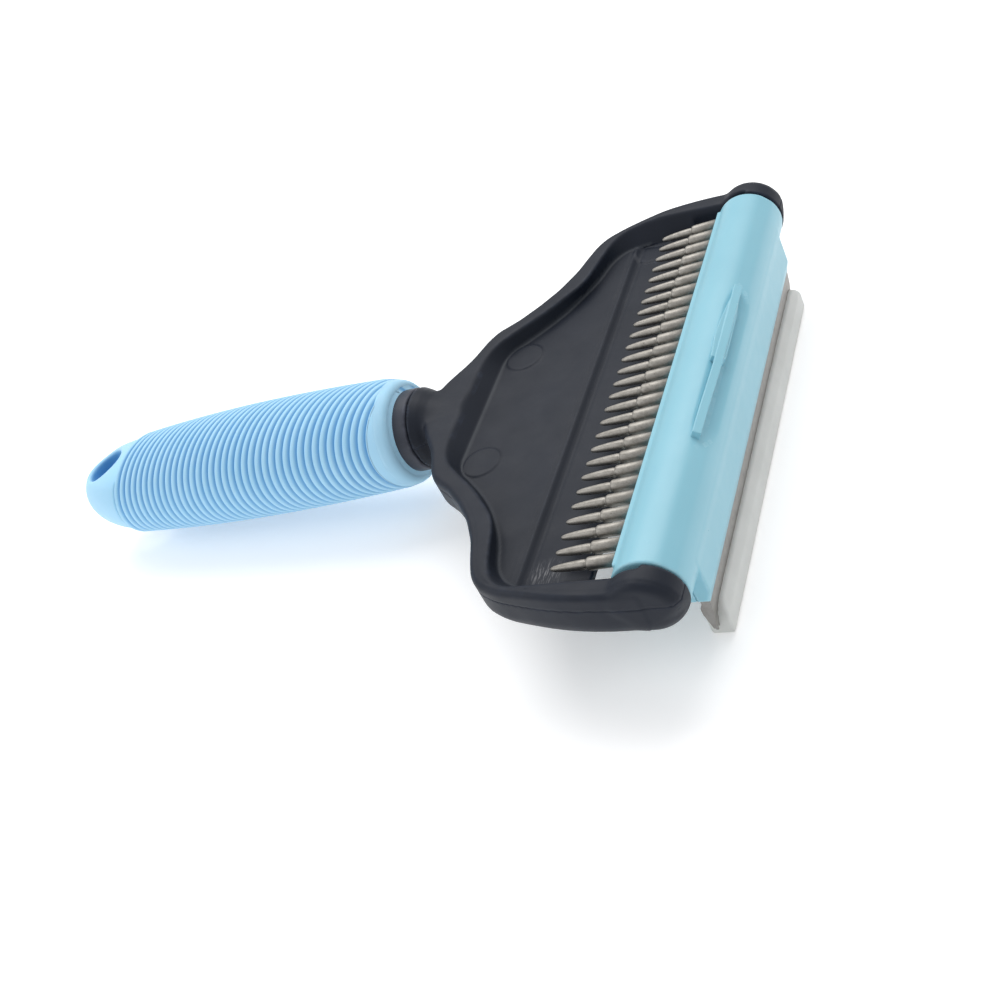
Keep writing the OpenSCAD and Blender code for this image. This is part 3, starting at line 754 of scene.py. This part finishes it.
# ---------------------------------------------------------------- the comb
def build_pins():
    """Stepped pins: a thick root, a neck under the step and a long taper to a round tip."""
    profile = [(0, -3.4), (0.85, -3.4), (0.9, -3.3), (0.9, -0.8), (1.3, -0.75), (1.3, 4.5), (1.27, 4.85),
               (1.12, 5.1), (0.86, 5.22), (0.84, 5.36), (0.92, 5.5), (0.98, 5.8), (0.985, 6.3),
               (0.96, 7.2), (0.9, 8.6), (0.81, 10.0), (0.7, 11.2), (0.58, 12.1), (0.42, 12.7),
               (0.24, 12.95), (0, 13.02)]
    c, s = np.cos(COMB_TILT), np.sin(COMB_TILT)
    parts = []
    for i in range(PINS):
        y = (i - (PINS - 1) / 2) * PITCH

        def place(p, y=y):
            u, v = -p[:, 0], p[:, 2]
            return np.stack([COMB[0] + u * c - v * s, y + p[:, 1], COMB[2] + u * s + v * c], 1)

        parts.append(lathe(profile, 28, place))
    new_object("pins", *join(parts), "barrel", "pin_steel", nickel, ["comb_pins"])


build_pins()


# ---------------------------------------------------------------- the blade and its cover
COVER = np.array([(3.6, -15.5), (6.1, -15.5), (6.9, -17.5), (6.9, -21.3), (3.6, -21.3)], float)
COVER_R, COVER_TOP = 0.7, 14.8
BLADE = np.array([(4.2, -4.2), (6.2, -4.2), (6.3, -11), (5.95, -14.6), (5.2, -19.5), (4.7, -19.5),
                  (3.8, -14.6), (3.8, -12.9), (4.4, -12.0)], float)


def build_blade():
    """The section swept along the head, its edge cut into teeth."""
    one_tooth = ((0.12, TOOTH), (0.3, 0.0), (0.62, 0.0), (0.8, TOOTH))
    rows = [(-BLADE_HALF - 0.3, TOOTH)]
    for i in range(TEETH):
        rows += [(-BLADE_HALF + i + a, lift) for a, lift in one_tooth]
    rows.append((BLADE_HALF + 0.3, TOOTH))
    points, faces, n = [], [], len(BLADE)
    for y, lift in rows:
        for x, z in BLADE:
            points.append((x, y, z + (lift if z < -19 else 0)))
    for r in range(len(rows) - 1):
        for i in range(n):
            j = (i + 1) % n
            faces.append((r * n + i, r * n + j, (r + 1) * n + j, (r + 1) * n + i))
    last = (len(rows) - 1) * n
    faces += [tuple(range(n))[::-1], tuple(range(last, last + n))]
    new_object("blade", np.array(points), faces, "barrel", "blade_steel", blade_steel,
               ["deshedding_blade"], smooth=False)


def cover(x, y, z):
    """A rounded bar round the blade's edge, its upper corners cut round at both ends."""
    end = corner(np.abs(y - 1) - 49.6, z + COVER_TOP, 4)
    d = smax(polygon(x, z, COVER) - COVER_R, end, 0.5)
    slit = smax(polygon(x, z, BLADE), -14.6 - z, 0.1) - 0.2
    return smax(d, -slit, 0.15)


build_blade()
SIZE = 0.3
carve("cover", cover, (2.2, -50.4, -22.8), (8.4, 51.4, -14), SIZE, "cover", "cover_clear", milky,
      ["blade_cover"])


# ---------------------------------------------------------------- CAD nodes that stay
for name, material in {
    "case_screws": screw_steel, "neck_screws": screw_steel, "barrel_screws": screw_steel,
    "blade_dowels": rod_steel, "pivot_rod": rod_steel,
    "detent_leaf": rod_steel, "detent_wheel": rod_steel, "rod_clip": screw_steel, "comb_bar": screw_steel,
    "near_bush": milky, "far_bush": milky, "thrust_washers": milky,
}.items():
    node = nodes[name]
    node.data.materials.clear()
    node.data.materials.append(material)


# ---------------------------------------------------------------- studio
def floor_material():
    look = Look("paper", Roughness=0.9, Specular_IOR_Level=0.1, Emission_Color=(1, 1, 1),
                Emission_Strength=0.24)
    tone = look.ramp(look.noise(40, 2), 0.3, 0.7, 0, 1)
    look.colour(look.mix(tone, (0.945, 0.945, 0.945), (0.955, 0.955, 0.955)))
    return look.material


def build_stage():
    """A pale sheet just under the part, in metres."""
    mesh = bpy.data.meshes.new("floor")
    s = 3.0
    mesh.from_pydata([(-s, -s, 0), (s, -s, 0), (s, s, 0), (-s, s, 0)], [], [(0, 1, 2, 3)])
    o = bpy.data.objects.new("floor", mesh)
    bpy.context.scene.collection.objects.link(o)
    o.location = (0, 0, -0.0002)
    mesh.materials.append(floor_material())


def area_light(name, position, aim, size, power, colour=(1, 1, 1)):
    data = bpy.data.lights.new(name, "AREA")
    data.shape = "RECTANGLE"
    data.size, data.size_y = size
    data.energy = power
    data.color = colour
    o = bpy.data.objects.new(name, data)
    bpy.context.scene.collection.objects.link(o)
    o.location = position
    o.rotation_euler = (Vector(aim) - Vector(position)).to_track_quat("-Z", "Y").to_euler()


build_stage()
area_light("overhead", (-0.1, 0.5, 0.85), (0.03, 0, 0), (1.1, 0.7), 7.1, (1, 0.99, 0.98))
area_light("left", (-0.75, -0.35, 0.55), (-0.05, 0, 0), (0.6, 0.6), 2.2, (0.98, 0.99, 1))

world = bpy.data.worlds.new("studio")
bpy.context.scene.world = world
world.use_nodes = True
background = world.node_tree.nodes["Background"]
background.inputs["Color"].default_value = (0.97, 0.98, 1, 1)
background.inputs["Strength"].default_value = 0.68

bpy.context.scene.view_settings.view_transform = "Standard"
bpy.context.scene.view_settings.look = "None"

# The camera's right and back directions, and its place from the barrel's axis in metres
RIGHT = (0.875586, 0.274132, -0.397744)
BACK = (0.473205, -0.652232, 0.592174)
AWAY = (0.091974, -0.209004, 0.162735)

camera_data = bpy.data.cameras.new("camera")
camera_data.sensor_width = 36
camera_data.lens = 48.85
camera_data.clip_start = 0.01
camera = bpy.data.objects.new("camera", camera_data)
bpy.context.scene.collection.objects.link(camera)
right = Vector(RIGHT).normalized()
back = Vector(BACK).normalized()
up = back.cross(right).normalized()
right = up.cross(back)
camera.matrix_world = Matrix((
    (right.x, up.x, back.x, HEAD[0] + AWAY[0]),
    (right.y, up.y, back.y, HEAD[1] + AWAY[1]),
    (right.z, up.z, back.z, HEAD[2] + AWAY[2]),
    (0, 0, 0, 1)))
bpy.context.scene.camera = camera
